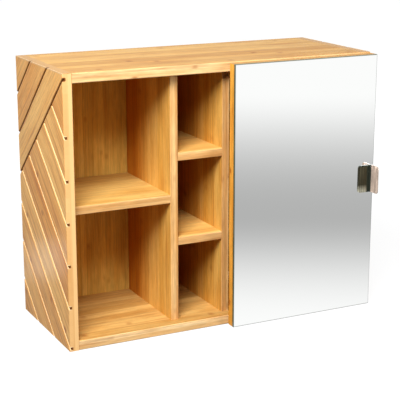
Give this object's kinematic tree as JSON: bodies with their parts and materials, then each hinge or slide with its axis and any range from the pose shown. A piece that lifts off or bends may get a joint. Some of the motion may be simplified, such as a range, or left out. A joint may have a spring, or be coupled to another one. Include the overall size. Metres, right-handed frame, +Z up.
{
  "type": "bathroom mirror cabinet",
  "caption": "Wall-hung bamboo bathroom cabinet with open niches on the left and a hinged mirror door on the right, chevron-grooved sides and a small angled handle.",
  "frame": {"origin": "middle of the underside of the bottom panel", "axes": "+X to the right seen from the front, the front faces -Y, +Z up"},
  "size_m": [0.56, 0.272, 0.45],
  "materials": {
    "bamboo": "satin clear lacquer over edge-glued bamboo board",
    "back_ply": "thin bamboo-faced board, satin lacquer",
    "dowel_wood": "plain turned beech",
    "mirror": "silvered float glass with a ground arris",
    "tape": "dark foam mirror tape",
    "brushed_nickel": "vertically brushed nickel",
    "plated_steel": "nickel-plated steel",
    "catch_plastic": "white moulded plastic",
    "ferrite": "sintered ferrite",
    "bumper_rubber": "soft translucent bumper"
  },
  "bodies": {
    "cabinet": {"back_panel": "back_ply", "bottom_panel": "bamboo", "cabinet_shelf": "bamboo", "catch_body": "catch_plastic", "catch_magnet": "ferrite", "catch_poles": "plated_steel", "catch_screws": "plated_steel", "corner_dowels": "dowel_wood", "divider_dowels": "dowel_wood", "hanger_screws": "plated_steel", "hanging_rail": "back_ply", "hinge_arm_screws": "plated_steel", "hinge_plate_screws": "plated_steel", "left_divider": "bamboo", "left_hanger_plate": "plated_steel", "left_shelf": "bamboo", "left_side_panel": "bamboo", "lower_hinge_arm": "plated_steel", "lower_hinge_plate": "plated_steel", "middle_shelf_lower": "bamboo", "middle_shelf_upper": "bamboo", "right_divider": "bamboo", "right_hanger_plate": "plated_steel", "right_side_panel": "bamboo", "shelf_dowels": "dowel_wood", "shelf_pins": "plated_steel", "top_panel": "bamboo", "upper_hinge_arm": "plated_steel", "upper_hinge_plate": "plated_steel"},
    "door": {"door_panel": "bamboo", "mirror_tape": "tape", "mirror_glass": "mirror", "door_handle": "brushed_nickel", "handle_screws": "plated_steel", "lower_hinge_cup": "plated_steel", "upper_hinge_cup": "plated_steel", "lower_hinge_pin": "plated_steel", "upper_hinge_pin": "plated_steel", "hinge_cup_screws": "plated_steel", "strike_plate": "plated_steel", "strike_screws": "plated_steel", "door_bumpers": "bumper_rubber"}
  },
  "joints": [
    {"name": "door_hinge", "type": "hinge", "parent": "cabinet", "child": "door", "pos_m": [0.014, -0.1247, 0.225], "axis": [0, 0, -1], "range_deg": [0, 95]}
  ]
}
